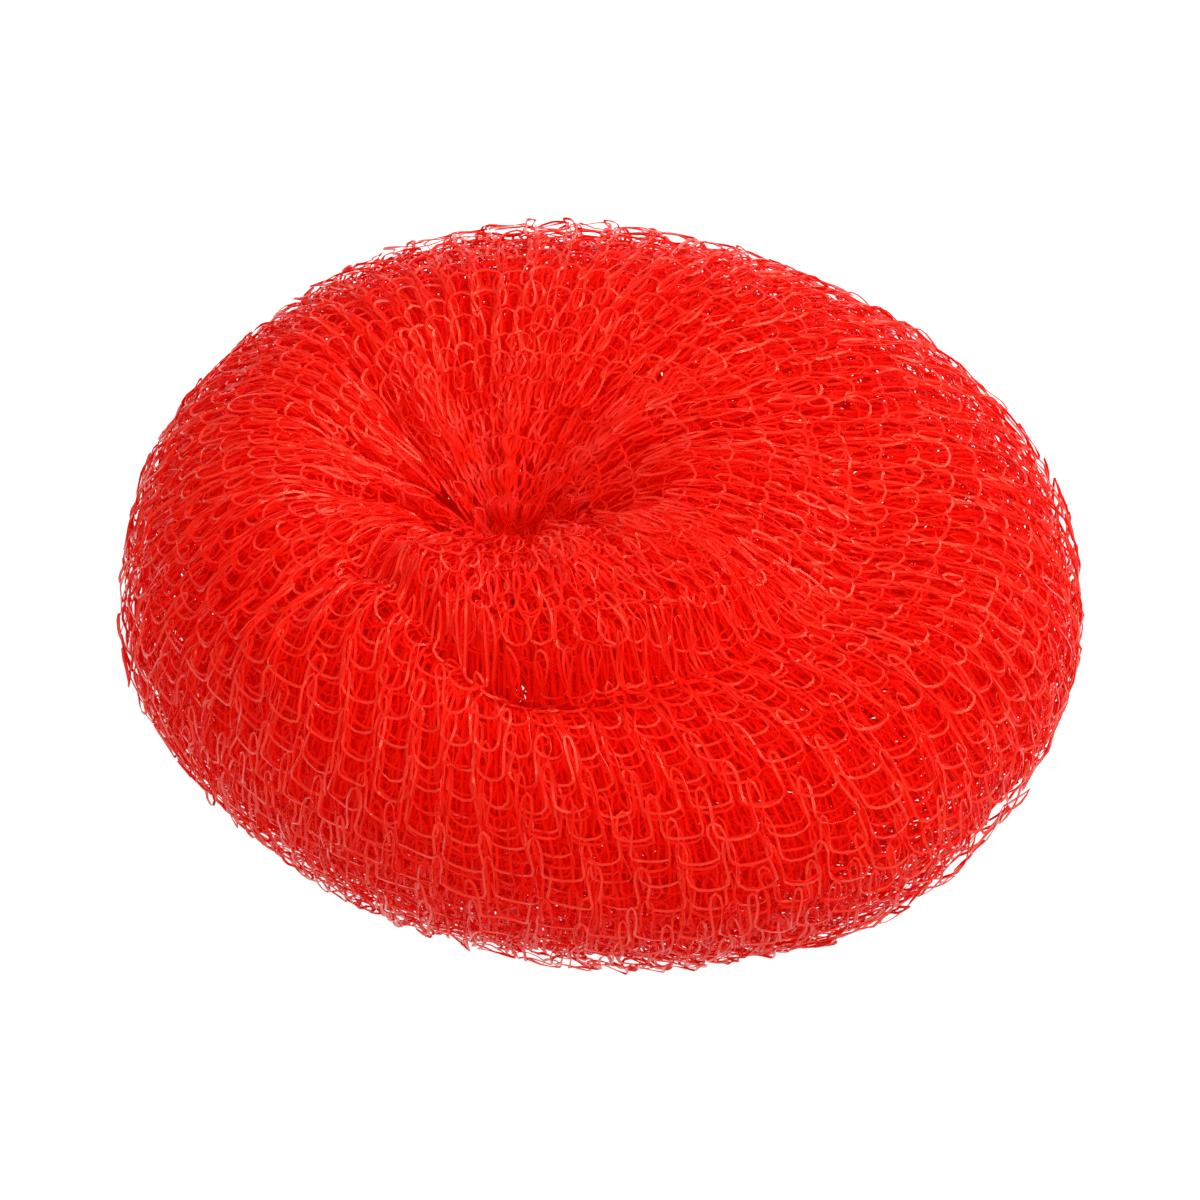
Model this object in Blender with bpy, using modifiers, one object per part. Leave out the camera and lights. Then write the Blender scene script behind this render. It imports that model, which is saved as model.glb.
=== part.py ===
"""Round knitted nylon mesh scrubber.

One knitted sleeve is rolled down over itself into a fat soft ring. Its stitch columns run from
the rim, over the crest and into the gathered throat, and its rows run round the ring.
Lengths are in metres, +Z is up, and the origin is the centre of the face that it rests on.
"""

import math

import bmesh
import bpy
from mathutils import Matrix, Vector

MM = 0.001

# The ring as a whole: a slightly oval plan, and a nearly round section
LONG_RADIUS = 48.5 * MM
SHORT_RADIUS = 44.8 * MM
PLAN_TURN = math.radians(-26.0)
HALF_HEIGHT = 19.45 * MM
REST_CUT = 0.5 * MM

# The throat, where the sleeve is gathered, lies off the middle
THROAT_X = -9.5 * MM
THROAT_Y = 0.5 * MM
THROAT_RADIUS = 4.2 * MM

# Two hollows pressed into the top of the soft ring, placed round the ring and round its section
VALLEY_DEPTH = 6.0 * MM
VALLEY_SHARE = 0.095
VALLEY_SPREAD_SHARE = 0.055
VALLEY_PHASE = math.radians(104.0)
VALLEY_PHASE_SPREAD = math.radians(28.0)
PUCKER_DEPTH = 4.2 * MM
PUCKER_SHARE = 0.855
PUCKER_SPREAD_SHARE = 0.075
PUCKER_PHASE = math.radians(74.0)
PUCKER_PHASE_SPREAD = math.radians(16.0)

# Outer net: stitch columns round the ring, and rows from the lower throat edge to the upper one
NET_COLUMNS = 24
NET_STRAND = 1.4 * MM
ROW_STEP = math.radians(24.0)
ROWS_INSIDE_REST = 2
ROWS_OUTSIDE_REST = 10
LOOP_PEAK_SHARE = 0.16
GATHERED_STRAND_SHARE = 0.6

# Turns of the sleeve under the net
TURN_GAP = 0.5 * MM
TURN_WALL = 1.1 * MM
TURN_SEGMENTS = 32
TURN_ROWS = 15
TURN_REACH = math.radians(146.0)

# The tight roll that the sleeve starts from, as a spiral in section
CORE_WALL = 2.2 * MM
CORE_GAP = 1.0 * MM
CORE_STEPS_PER_TURN = 12
CORE_STEPS = 20

# The gathered throat: pleats drawn in to a waist
PLEAT_COUNT = 12
PLEAT_DEPTH_SHARE = 0.1
WAIST_PLEAT_SHARE = 0.4
POINTS_PER_PLEAT = 3
WAIST_RADIUS = 2.0 * MM
THROAT_WALL = 0.9 * MM
THROAT_ROWS = 8
THROAT_SEAT_GAP = 0.3 * MM
THROAT_SURFACE_DEPTH = 0.3 * MM
WAIST_SHARPNESS = 10

# The closing tie: a thread wound round the waist and knotted
TIE_RADIUS = 0.4 * MM
TIE_LOOPS = 3
TIE_PITCH = 1.4 * MM
TIE_POINTS_PER_LOOP = 24
TIE_SEAT_GAP = 0.3 * MM
TIE_TAIL = 2.0 * MM
TIE_SHARE = 0.9
KNOT_RADIUS = 1.1 * MM

WELD = 0.001 * MM
NYLON_RED = (0.80, 0.012, 0.006, 1.0)
DEEP_RED = (0.62, 0.008, 0.004, 1.0)
THREAD_RED = (0.55, 0.01, 0.008, 1.0)

MIDDLE_HEIGHT = HALF_HEIGHT - REST_CUT
REST_PHASE = -math.pi / 2.0
NET_ROWS = ROWS_INSIDE_REST + ROWS_OUTSIDE_REST
NET_LOW_PHASE = REST_PHASE - ROWS_INSIDE_REST * ROW_STEP
NET_HIGH_PHASE = REST_PHASE + ROWS_OUTSIDE_REST * ROW_STEP
MEAN_RADIUS = (LONG_RADIUS + SHORT_RADIUS) / 2.0
SECTION_RADIUS = max(MEAN_RADIUS / 2.0, HALF_HEIGHT)
STRAND_SAG = SECTION_RADIUS * (1.0 - math.cos(ROW_STEP / 2.0))
SECOND_TURN_DEPTH = NET_STRAND + STRAND_SAG + TURN_GAP
THIRD_TURN_DEPTH = SECOND_TURN_DEPTH + TURN_WALL + TURN_GAP
CORE_DEPTH = THIRD_TURN_DEPTH + TURN_WALL + TURN_GAP


def clear_scene():
    """Remove every object, so that the model starts from nothing."""
    for item in list(bpy.data.objects):
        bpy.data.objects.remove(item, do_unlink=True)


def make_collection(name):
    """Add a collection to the scene."""
    collection = bpy.data.collections.new(name)
    bpy.context.scene.collection.children.link(collection)
    return collection


def make_material(name, colour, roughness):
    """A plain plastic finish."""
    material = bpy.data.materials.new(name)
    material.use_nodes = True
    shader = material.node_tree.nodes["Principled BSDF"]
    shader.inputs["Base Color"].default_value = colour
    shader.inputs["Roughness"].default_value = roughness
    shader.inputs["Metallic"].default_value = 0.0
    return material


def rim_point(share):
    """A point of the oval rim, in plan, at a share of the way round."""
    angle = 2.0 * math.pi * share
    point = Vector((LONG_RADIUS * math.cos(angle), SHORT_RADIUS * math.sin(angle)))
    return Matrix.Rotation(PLAN_TURN, 2) @ point


def throat_point(share, radius):
    """A point round the off-centre throat, in plan, facing the rim point of the same share."""
    angle = 2.0 * math.pi * share + PLAN_TURN
    return Vector((THROAT_X + radius * math.cos(angle), THROAT_Y + radius * math.sin(angle)))


def hollow(share, phase, middle_share, spread_share, middle_phase, phase_spread):
    """A soft hollow, 1 at its middle and fading to 0."""
    round_ring = (share - middle_share + 0.5) % 1.0 - 0.5
    turn = 2.0 * math.pi
    round_section = (phase - middle_phase + math.pi) % turn - math.pi
    across = (round_ring / spread_share) ** 2 + (round_section / phase_spread) ** 2
    return math.exp(-across / 2.0)


def pressed_depth(share, phase):
    """How far the hollows press the sleeve in at a place of the ring."""
    valley = hollow(
        share, phase, VALLEY_SHARE, VALLEY_SPREAD_SHARE, VALLEY_PHASE, VALLEY_PHASE_SPREAD)
    pucker = hollow(
        share, phase, PUCKER_SHARE, PUCKER_SPREAD_SHARE, PUCKER_PHASE, PUCKER_PHASE_SPREAD)
    return VALLEY_DEPTH * valley + PUCKER_DEPTH * pucker


def ring_point(share, phase, depth):
    """A point of the ring at a depth under its surface.

    share goes round the ring, and phase round its section: 0 at the rim, a quarter turn at the
    crest, half a turn at the throat and minus a quarter turn at the floor.
    """
    rim = rim_point(share)
    throat = throat_point(share, THROAT_RADIUS)
    half_width = (rim - throat).length / 2.0
    inset = depth + pressed_depth(share, phase)
    reach = (1.0 + (1.0 - inset / half_width) * math.cos(phase)) / 2.0
    plan = throat.lerp(rim, reach)
    rise = (HALF_HEIGHT - inset) * math.sin(phase)
    return Vector((plan.x, plan.y, MIDDLE_HEIGHT + rise))


def unit_sleeve(columns, rows):
    """A band of faces closed round a unit cylinder, from 0 to 1 along its axis."""
    cage = bmesh.new()
    bmesh.ops.create_grid(cage, x_segments=columns, y_segments=rows, size=0.5)
    for vertex in cage.verts:
        angle = 2.0 * math.pi * (vertex.co.x + 0.5)
        vertex.co = Vector((math.cos(angle), math.sin(angle), vertex.co.y + 0.5))
    bmesh.ops.remove_doubles(cage, verts=cage.verts, dist=WELD)
    return cage


def column_of(vertex, columns):
    """Which column of the unit sleeve a vertex stands on."""
    angle = math.atan2(vertex.co.y, vertex.co.x)
    return round(columns * angle / (2.0 * math.pi)) % columns


def row_of(vertex, rows):
    """Which row of the unit sleeve a vertex stands on."""
    return round(rows * vertex.co.z)


def sleeve_cage(columns, rows, place):
    """A closed band of faces: place(share, way) gives the point at two shares from 0 to 1."""
    cage = unit_sleeve(columns, rows)
    for vertex in cage.verts:
        vertex.co = place(column_of(vertex, columns) / columns, row_of(vertex, rows) / rows)
    return cage


def add_object(name, cage, material, collection):
    """Turn a cage into a smooth object in the collection."""
    bmesh.ops.recalc_face_normals(cage, faces=cage.faces)
    mesh = bpy.data.meshes.new(name)
    cage.to_mesh(mesh)
    cage.free()
    mesh.shade_smooth()
    item = bpy.data.objects.new(name, mesh)
    item.data.materials.append(material)
    collection.objects.link(item)
    return item


def add_wall(item, wall):
    """Give an open surface its wall, which grows inwards from the surface."""
    modifier = item.modifiers.new("wall", "SOLIDIFY")
    modifier.thickness = wall
    modifier.offset = -1.0
    modifier.use_even_offset = True
    modifier.use_quality_normals = True


def loop_row_phase(column, row):
    """The phase of a loop's end: raised where a strand goes up, lowered where one goes down."""
    peak = LOOP_PEAK_SHARE if (column + row) % 2 == 0 else -LOOP_PEAK_SHARE
    if row in (0, NET_ROWS):
        peak = 0.0
    return NET_LOW_PHASE + (row + peak) * ROW_STEP


def is_dropped_strand(edge, steps):
    """True for a strand that the offset rows leave out, between two loops of one column."""
    columns = [column_of(vertex, steps) for vertex in edge.verts]
    if columns[0] != columns[1]:
        return False
    row = min(row_of(vertex, NET_ROWS) for vertex in edge.verts)
    return (columns[0] + row) % 2 == 1


def build_outer_net(material, collection):
    """The cover turn: an open net of six-sided loops, each row half a loop round from the last."""
    steps = 2 * NET_COLUMNS
    cage = unit_sleeve(steps, NET_ROWS)
    dropped = [edge for edge in cage.edges if is_dropped_strand(edge, steps)]
    bmesh.ops.dissolve_edges(cage, edges=dropped, use_verts=False)
    gather = cage.verts.layers.deform.verify()
    for vertex in cage.verts:
        column = column_of(vertex, steps)
        phase = loop_row_phase(column, row_of(vertex, NET_ROWS))
        vertex.co = ring_point(column / steps, phase, NET_STRAND / 2.0)
        vertex[gather][0] = (1.0 + math.cos(phase)) / 2.0
    item = add_object("outer_net", cage, material, collection)
    item.vertex_groups.new(name="spread")
    strands = item.modifiers.new("strands", "WIREFRAME")
    strands.thickness = NET_STRAND
    strands.offset = 0.0
    strands.use_boundary = True
    strands.use_replace = True
    strands.use_even_offset = True
    strands.use_relative_offset = False
    strands.vertex_group = "spread"
    strands.thickness_vertex_group = GATHERED_STRAND_SHARE
    return item


def cut_rest_face(item, cutters):
    """Cut the net flat where it rests."""
    slab = bmesh.new()
    bmesh.ops.create_cube(slab, size=1.0)
    slab_depth = HALF_HEIGHT
    for vertex in slab.verts:
        vertex.co.x *= 3.0 * LONG_RADIUS
        vertex.co.y *= 3.0 * LONG_RADIUS
        vertex.co.z = (vertex.co.z - 0.5) * slab_depth
    mesh = bpy.data.meshes.new("rest_slab")
    slab.to_mesh(mesh)
    slab.free()
    cutter = bpy.data.objects.new("rest_slab", mesh)
    cutter.hide_render = True
    cutter.display_type = "WIRE"
    cutters.objects.link(cutter)
    cut = item.modifiers.new("rest_face", "BOOLEAN")
    cut.operation = "DIFFERENCE"
    cut.solver = "EXACT"
    cut.object = cutter


def build_turn(name, depth, material, collection):
    """A turn of the sleeve: a band from the throat, round the outside and back to the throat."""
    def place(share, way):
        return ring_point(share, (2.0 * way - 1.0) * TURN_REACH, depth)

    cage = sleeve_cage(TURN_SEGMENTS, TURN_ROWS, place)
    item = add_object(name, cage, material, collection)
    add_wall(item, TURN_WALL)
    return item


def build_rolled_core(material, collection):
    """The start of the roll: a band that winds inwards as a spiral in section."""
    pitch = CORE_WALL + CORE_GAP

    def place(share, way):
        step = way * CORE_STEPS
        turns = step / CORE_STEPS_PER_TURN
        return ring_point(share, math.pi + 2.0 * math.pi * turns, CORE_DEPTH + pitch * turns)

    cage = sleeve_cage(TURN_SEGMENTS, CORE_STEPS, place)
    item = add_object("rolled_core", cage, material, collection)
    add_wall(item, CORE_WALL)
    return item


def gathered_point(share, phase, ripple):
    """A point of the gathered throat, drawn in towards its axis at the waist.

    ripple is the pleat's height there, from -1 in its fold to 1 on its ridge.
    """
    axis = Vector((THROAT_X, THROAT_Y))
    surface = ring_point(share, phase, THROAT_SURFACE_DEPTH)
    waist_pull = math.cos(phase) ** WAIST_SHARPNESS
    pleat = 1.0 + ripple * PLEAT_DEPTH_SHARE * (1.0 - waist_pull * (1.0 - WAIST_PLEAT_SHARE))
    pull = pleat * (1.0 - waist_pull * (1.0 - WAIST_RADIUS / THROAT_RADIUS))
    plan = axis + (surface.xy - axis) * pull
    return Vector((plan.x, plan.y, surface.z))


def build_gathered_throat(material, collection):
    """The sleeve where it passes through the ring: a pleated wall, pinched at the waist."""
    edge = (THROAT_SEAT_GAP + NET_STRAND / 2.0) / HALF_HEIGHT
    low = 2.0 * math.pi + NET_LOW_PHASE - edge
    high = NET_HIGH_PHASE + edge

    def place(share, way):
        ripple = math.cos(2.0 * math.pi * PLEAT_COUNT * share)
        return gathered_point(share, low + (high - low) * way, ripple)

    cage = sleeve_cage(PLEAT_COUNT * POINTS_PER_PLEAT, THROAT_ROWS, place)
    item = add_object("gathered_throat", cage, material, collection)
    add_wall(item, THROAT_WALL)
    return item


def tie_place(share, rise, stand_off):
    """A point of the thread's middle line, wound on the widest pleats of the waist."""
    phase = math.pi - math.asin(rise / HALF_HEIGHT)
    wall = gathered_point(share, phase, 1.0)
    axis = Vector((THROAT_X, THROAT_Y, wall.z))
    radius = (wall - axis).length + THROAT_WALL + TIE_SEAT_GAP + TIE_RADIUS + stand_off
    plan = throat_point(share, radius)
    return Vector((plan.x, plan.y, wall.z))


def tie_route():
    """The thread's middle line: out of the knot, round the waist, and back to the knot."""
    half_height = TIE_LOOPS * TIE_PITCH / 2.0
    steps = TIE_LOOPS * TIE_POINTS_PER_LOOP
    loops = [
        tie_place(TIE_SHARE + step / TIE_POINTS_PER_LOOP,
                  half_height * (2.0 * step / steps - 1.0), 0.0)
        for step in range(steps + 1)
    ]
    first_tail = tie_place(TIE_SHARE, -TIE_RADIUS, TIE_TAIL)
    last_tail = tie_place(TIE_SHARE, TIE_RADIUS, TIE_TAIL)
    return [first_tail] + loops + [last_tail]


def least_gap(points, radius, neighbours):
    """The least clear gap between stretches of a tube that are not next to each other."""
    gaps = [
        (points[one] - points[other]).length - 2.0 * radius
        for one in range(len(points))
        for other in range(one + neighbours, len(points))
    ]
    return min(gaps)


def build_closing_tie(material, collection):
    """The thread that holds the gathered waist, with its knot."""
    route = tie_route()
    gap = least_gap(route[1:-1], TIE_RADIUS, TIE_POINTS_PER_LOOP // 2)
    print("closing tie, least gap between its loops: %.2f mm" % (gap / MM))

    curve = bpy.data.curves.new("tie_thread", "CURVE")
    curve.dimensions = "3D"
    curve.bevel_depth = TIE_RADIUS
    curve.bevel_resolution = 1
    curve.use_fill_caps = True
    thread = curve.splines.new("POLY")
    thread.points.add(len(route) - 1)
    for point, place in zip(thread.points, route):
        point.co = place.to_4d()
    source = bpy.data.objects.new("tie_thread", curve)
    collection.objects.link(source)
    bpy.context.view_layer.update()
    shape = source.evaluated_get(bpy.context.evaluated_depsgraph_get())
    mesh = bpy.data.meshes.new_from_object(shape)
    bpy.data.objects.remove(source, do_unlink=True)

    cage = bmesh.new()
    cage.from_mesh(mesh)
    bpy.data.meshes.remove(mesh)
    bmesh.ops.remove_doubles(cage, verts=cage.verts, dist=WELD)
    return add_object("closing_tie", cage, material, collection), (route[0] + route[-1]) / 2.0


def add_knot(tie, place, cutters):
    """Join the knot to both ends of the thread."""
    knot = bmesh.new()
    bmesh.ops.create_icosphere(knot, subdivisions=2, radius=KNOT_RADIUS)
    bmesh.ops.translate(knot, verts=knot.verts, vec=place)
    mesh = bpy.data.meshes.new("knot")
    knot.to_mesh(mesh)
    knot.free()
    shape = bpy.data.objects.new("knot", mesh)
    shape.hide_render = True
    shape.display_type = "WIRE"
    cutters.objects.link(shape)
    join = tie.modifiers.new("knot", "BOOLEAN")
    join.operation = "UNION"
    join.solver = "EXACT"
    join.object = shape


def main():
    clear_scene()
    parts = make_collection("mesh_scrubber")
    cutters = make_collection("mesh_scrubber_cutters")
    nylon = make_material("red_nylon_mesh", NYLON_RED, 0.35)
    inner_nylon = make_material("inner_red_nylon", DEEP_RED, 0.45)
    thread = make_material("red_thread", THREAD_RED, 0.6)
    net = build_outer_net(nylon, parts)
    cut_rest_face(net, cutters)
    build_turn("second_turn", SECOND_TURN_DEPTH, inner_nylon, parts)
    build_turn("third_turn", THIRD_TURN_DEPTH, inner_nylon, parts)
    build_rolled_core(inner_nylon, parts)
    build_gathered_throat(nylon, parts)
    tie, knot_place = build_closing_tie(thread, parts)
    add_knot(tie, knot_place, cutters)


main()
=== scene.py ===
"""Looks of the round knitted nylon mesh scrubber.

Flat red nylon yarn is knitted here course by course, stitch by stitch, into the turns of one
long sleeve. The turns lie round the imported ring: a cover of three plies that dives through the
gathered throat, two turns under it and the tight roll in the middle. Lengths are in metres.
"""

import math

import bpy
import numpy as np
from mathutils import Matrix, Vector


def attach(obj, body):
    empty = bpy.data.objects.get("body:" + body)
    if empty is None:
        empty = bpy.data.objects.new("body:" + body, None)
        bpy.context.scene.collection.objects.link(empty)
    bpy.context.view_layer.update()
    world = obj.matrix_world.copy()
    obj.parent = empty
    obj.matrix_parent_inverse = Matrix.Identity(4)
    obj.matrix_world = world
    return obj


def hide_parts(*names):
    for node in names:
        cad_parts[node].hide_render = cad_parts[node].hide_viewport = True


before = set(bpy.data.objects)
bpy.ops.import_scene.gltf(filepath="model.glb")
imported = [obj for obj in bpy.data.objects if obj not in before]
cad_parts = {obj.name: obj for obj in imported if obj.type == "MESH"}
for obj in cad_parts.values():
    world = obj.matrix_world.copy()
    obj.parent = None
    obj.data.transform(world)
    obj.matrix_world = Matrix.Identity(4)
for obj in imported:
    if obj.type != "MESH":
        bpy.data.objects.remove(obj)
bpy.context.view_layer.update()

bl_info = {
    "name": "Knitted Mesh Scrubber",
    "version": (1, 0, 0),
    "blender": (4, 5, 0),
    "location": "3D View > Sidebar > Scrubber",
    "description": "Knits the turns of a round nylon mesh scrubber, stitch by stitch",
    "category": "Add Mesh",
}

MM = 0.001
BODY = "root"

# The ring that the sleeve is rolled into
LONG_RADIUS = 48.5 * MM
SHORT_RADIUS = 44.8 * MM
PLAN_TURN = math.radians(-26.0)
HALF_HEIGHT = 19.45 * MM
REST_CUT = 0.5 * MM
MIDDLE_HEIGHT = HALF_HEIGHT - REST_CUT
THROAT = np.array([-9.5 * MM, 0.5 * MM])
THROAT_RADIUS = 4.2 * MM
WAIST_RADIUS = 1.7 * MM
WAIST_SHARPNESS = 10

# Hollows pressed into the soft ring, and lips that stand up from it, which have a negative depth:
# depth, place and spread round the ring, place and spread round the section
SOFT_FORMS = {
    "valley": (3.2 * MM, 0.070, 0.055, 0.240, 0.052),
    "side hollow": (3.4 * MM, 0.000, 0.045, 0.206, 0.039),
    "pucker": (3.0 * MM, 0.895, 0.065, 0.203, 0.039),
    "pocket": (6.0 * MM, 0.800, 0.024, 0.204, 0.021),
    "front lip": (-3.0 * MM, 0.870, 0.085, 0.333, 0.044),
    "right lip": (-0.8 * MM, 0.030, 0.090, 0.356, 0.044),
    "back lip": (-0.8 * MM, 0.150, 0.060, 0.380, 0.040),
    "back slope": (3.4 * MM, 0.370, 0.100, 0.345, 0.050),
    "left slope": (0.8 * MM, 0.540, 0.080, 0.315, 0.056),
    "left swell": (-1.7 * MM, 0.618, 0.024, 0.011, 0.067),
    "front swell": (-1.8 * MM, 0.912, 0.036, -0.050, 0.072),
    "front tuck": (1.0 * MM, 0.738, 0.036, -0.050, 0.072),
    "back dip": (1.0 * MM, 0.480, 0.060, 0.172, 0.083),
}

# Folds of the sleeve, each a line from one place of the ring and the section to another, with the
# spread across it, how far its ridge stands up, and how far one side rises and the other sinks. A
# negative ridge is a groove.
FOLDS = {
    "left edge": (0.655, 0.094, 0.730, 0.315, 2.8 * MM, 0.9 * MM, 1.8 * MM),
    "right ridge": (0.085, 0.350, 0.055, 0.244, 2.2 * MM, 1.4 * MM, 0.0 * MM),
    "front ridge": (0.955, 0.311, 0.925, 0.222, 2.2 * MM, 0.7 * MM, 0.0 * MM),
    "mound edge left": (0.800, 0.214, 0.680, 0.276, 1.9 * MM, -0.8 * MM, 1.9 * MM),
    "mound edge right": (0.950, 0.246, 0.790, 0.217, 2.1 * MM, -0.7 * MM, 1.9 * MM),
    "back left crease": (0.455, 0.45, 0.470, 0.24, 1.7 * MM, -2.2 * MM, 0.0 * MM),
    "left crease": (0.530, 0.45, 0.545, 0.25, 1.6 * MM, -2.2 * MM, 0.0 * MM),
    "front left crease": (0.590, 0.45, 0.620, 0.26, 1.6 * MM, -2.0 * MM, 0.0 * MM),
}
CREST_LENGTH = math.pi * ((LONG_RADIUS + SHORT_RADIUS) / 2.0 + THROAT_RADIUS)
SECTION_LENGTH = 2.0 * math.pi * HALF_HEIGHT

# Where the columns are dragged round the ring: how far, place and spread, and the phases from
# which and to which it grows
DRAGS = {
    "front lip": (0.085, 0.745, 0.090, math.radians(60.0), math.radians(135.0)),
    "right side": (-0.035, 0.010, 0.060, math.radians(60.0), math.radians(135.0)),
}

# The phase at which the drag is gone behind the throat, how far before it the drag starts to
# fade, and how gently it comes and goes
DRAG_END = math.pi * 1.15
DRAG_FADE = 0.6
DRAG_EASE = 1.5

# Below this height the yarn is pressed flat on what the pad lies on
PRESS_HEIGHT = 1.6 * MM


def soft_form(share, phase, depth, place, spread, section_place, section_spread):
    """Depth of one soft hollow or lip at places of the ring."""
    round_ring = (share - place + 0.5) % 1.0 - 0.5
    round_section = (phase / (2.0 * math.pi) - section_place + 0.5) % 1.0 - 0.5
    across = (round_ring / spread) ** 2 + (round_section / section_spread) ** 2
    return depth * np.exp(-across / 2.0)


def fold(share, phase, first, first_section, last, last_section, spread, ridge, step):
    """Depth of one fold, along a line over the ring."""
    round_section = (phase / (2.0 * math.pi) + 0.25) % 1.0 - 0.25
    run = np.array([(last - first) * CREST_LENGTH,
                    (last_section - first_section) * SECTION_LENGTH])
    length = np.hypot(*run)
    right = ((share - first + 0.5) % 1.0 - 0.5) * CREST_LENGTH
    up = (round_section - first_section) * SECTION_LENGTH
    along = (right * run[0] + up * run[1]) / length ** 2
    across = (right * run[1] - up * run[0]) / length / spread
    fade = np.exp(-np.abs(2.0 * along - 1.0) ** 4)
    slope = across * np.exp((1.0 - across ** 2) / 2.0)
    return -fade * (ridge * np.exp(-across ** 2 / 2.0) + step * slope)


def pressed_depth(share, phase):
    """How far the hollows press the sleeve in, less what the lips and folds rise."""
    forms = sum(soft_form(share, phase, *sizes) for sizes in SOFT_FORMS.values())
    return forms + sum(fold(share, phase, *sizes) for sizes in FOLDS.values())


def dragged(share, phase):
    """How far round the ring the sleeve's columns are dragged."""
    round_section = (phase + math.pi / 2.0) % (2.0 * math.pi) - math.pi / 2.0
    total = np.zeros(np.broadcast(share, phase).shape)
    for far, middle, spread, first_phase, last_phase in DRAGS.values():
        round_ring = ((share - middle + 0.5) % 1.0 - 0.5) / spread
        part = np.clip((round_section - first_phase) / (last_phase - first_phase), 0.0, 1.0)
        back = np.clip((DRAG_END - round_section) / DRAG_FADE, 0.0, 1.0)
        total += far * np.exp(-round_ring ** 2 / 2.0) * np.minimum(part, back) ** DRAG_EASE
    return total


def ring_points(share, phase, depth):
    """Places under the ring's surface, as arrays of points.

    share goes round the ring, and phase round its section: 0 at the rim, a quarter turn at the
    crest, half a turn at the throat and minus a quarter turn at the floor.
    """
    angle = 2.0 * math.pi * share
    cos_turn, sin_turn = math.cos(PLAN_TURN), math.sin(PLAN_TURN)
    oval_x, oval_y = LONG_RADIUS * np.cos(angle), SHORT_RADIUS * np.sin(angle)
    rim = np.stack([cos_turn * oval_x - sin_turn * oval_y,
                    sin_turn * oval_x + cos_turn * oval_y], axis=-1)
    facing = np.stack([np.cos(angle + PLAN_TURN), np.sin(angle + PLAN_TURN)], axis=-1)
    throat = THROAT + THROAT_RADIUS * facing
    half_width = np.linalg.norm(rim - throat, axis=-1) / 2.0
    inset = depth + pressed_depth(share, phase)
    reach = (1.0 + (1.0 - inset / half_width) * np.cos(phase)) / 2.0
    plan = throat + (rim - throat) * reach[..., None]
    waist_pull = np.where(np.cos(phase) < 0.0, np.cos(phase), 0.0) ** WAIST_SHARPNESS
    plan = THROAT + (plan - THROAT) * (
        1.0 - waist_pull * (1.0 - WAIST_RADIUS / THROAT_RADIUS))[..., None]
    rise = MIDDLE_HEIGHT + (HALF_HEIGHT - inset) * np.sin(phase)
    return np.concatenate([plan, rise[..., None]], axis=-1)


def stretch(share, phase, depth):
    """Metres for one whole share round the ring, and for one radian round its section."""
    step = 0.001
    across = ring_points(share + step, phase, depth) - ring_points(share - step, phase, depth)
    along = ring_points(share, phase + step, depth) - ring_points(share, phase - step, depth)
    return (np.linalg.norm(across, axis=-1) / (2.0 * step),
            np.linalg.norm(along, axis=-1) / (2.0 * step))


# The most waves round the ring and round its section, for each way in which the knit wanders,
# how many waves are summed, and the usual peak of their sum
WANDER_WAVES = (5, 4)
DRIFT_WAVES = (6, 5)
BULGE_WAVES = (7, 6)
BUNDLE_WAVES = (12, 2)
WAVES_SUMMED = 12
USUAL_PEAK = 1.5


def slow_waves(chance, share, phase, round_ring, round_section):
    """A soft random field over the ring that closes on itself, about -1 to 1."""
    field = np.zeros(np.broadcast(share, phase).shape)
    for _ in range(WAVES_SUMMED):
        ring_wave = chance.integers(-round_ring, round_ring + 1)
        section_wave = chance.integers(-round_section, round_section + 1)
        start = chance.uniform(0.0, 2.0 * math.pi)
        field += np.cos(2.0 * math.pi * ring_wave * share + section_wave * phase + start)
    return field * math.sqrt(2.0 / WAVES_SUMMED) / USUAL_PEAK


def spline_through(controls, lap, samples):
    """A cubic B-spline of points that closes on itself after one lap.

    controls is courses by points by values, and lap is what each value gains in a lap.
    """
    count = controls.shape[1]
    padded = np.concatenate([controls[:, -1:] - lap, controls, controls[:, :2] + lap], axis=1)
    place = np.arange(samples) * count / samples
    first = np.floor(place).astype(int)
    part = (place - first)[None, :, None]
    weights = ((1.0 - part) ** 3 / 6.0,
               (3.0 * part ** 3 - 6.0 * part ** 2 + 4.0) / 6.0,
               (-3.0 * part ** 3 + 3.0 * part ** 2 + 3.0 * part + 1.0) / 6.0,
               part ** 3 / 6.0)
    return sum(weight * padded[:, first + shift] for shift, weight in enumerate(weights))


def unit(vectors):
    """Vectors brought to length 1."""
    return vectors / np.maximum(np.linalg.norm(vectors, axis=-1, keepdims=True), 1e-12)


# Which of a stitch's control points lie on its legs, and how many it has
LEG_POINTS = (1, 2, 6, 7)
STITCH_POINTS = 8

# How much each size of a stitch varies, at a looseness of 1
HEAD_VARIATION = 0.16
ROOT_VARIATION = 0.2
HEIGHT_VARIATION = 0.07
ARC_VARIATION = 0.14
SAG_VARIATION = 0.22

# Heights of the control points, as shares of a loop's height or of an arc's sag
HEAD_TOP_SHARE = 1.08
HEAD_SIDE_SHARE = 0.78
ROOT_SHARE = 0.13
ARC_SIDE_SHARE = 0.45
ARC_MIDDLE_SHARE = 1.05

# How far crowded columns close the roots, where on a root an arc starts, how fast the arcs tilt
# as the columns crowd, and the relief where it is strongest, less what it loses all round
LEAST_OPENNESS = 0.45
ARC_START_SHARE = 0.9
TILT_GROWTH = 1.6
RELIEF_PEAK = 1.3
RELIEF_LOSS = 0.3


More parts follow.
